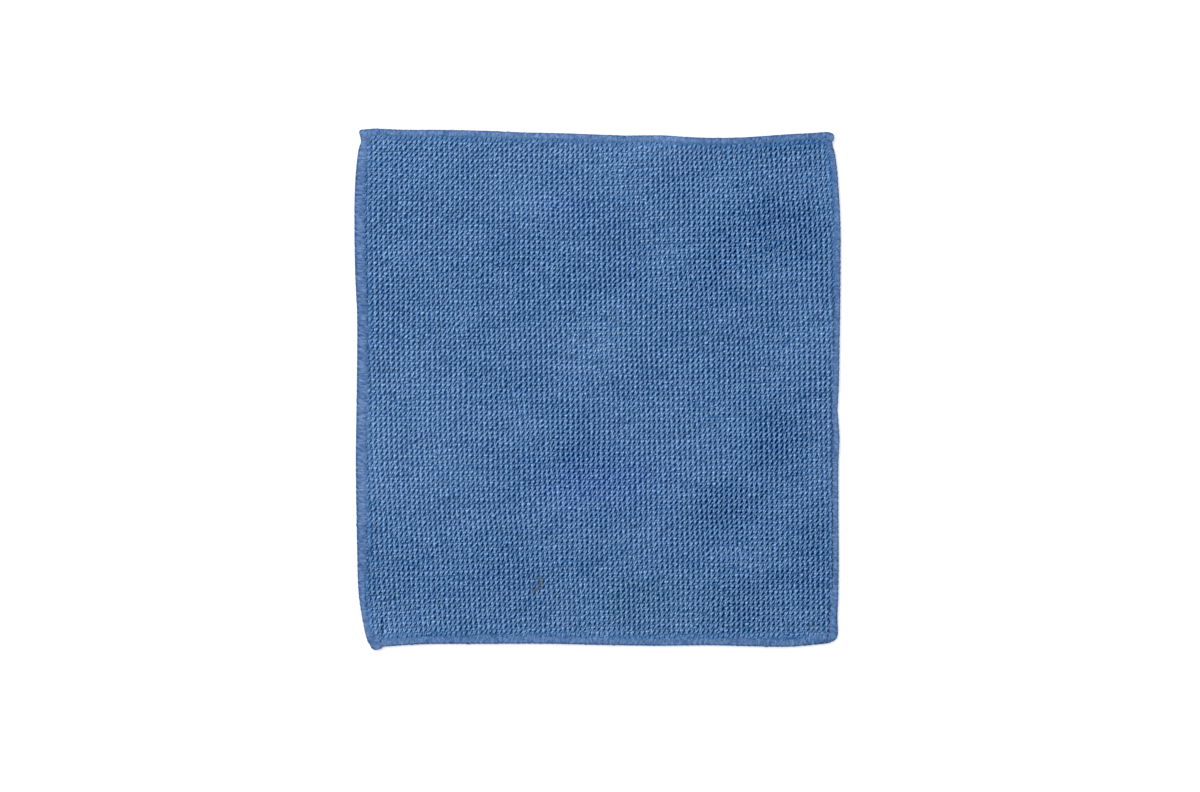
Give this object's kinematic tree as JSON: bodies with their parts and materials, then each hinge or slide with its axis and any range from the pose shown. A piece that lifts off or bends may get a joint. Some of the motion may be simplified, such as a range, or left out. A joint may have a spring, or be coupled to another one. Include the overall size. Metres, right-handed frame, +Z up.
{
  "type": "microfibre cloth",
  "caption": "Thick knitted cleaning cloth lying spread and nearly flat, its rim sewn round with overlock thread.",
  "frame": {"origin": "under the middle of the cloth's overall width and length, on the surface it lies on", "axes": "+Z up out of the cloth, +Y along its longer side towards the edge sewn last, +X to the right"},
  "size_m": [0.355, 0.381, 0.0036],
  "materials": {
    "microfibre_knit": "matte",
    "overlock_thread": "matte"
  },
  "bodies": {
    "root": {"knit_panel": "microfibre_knit", "overlock_bottom_right": "overlock_thread", "overlock_left": "overlock_thread", "overlock_top": "overlock_thread"}
  },
  "joints": []
}
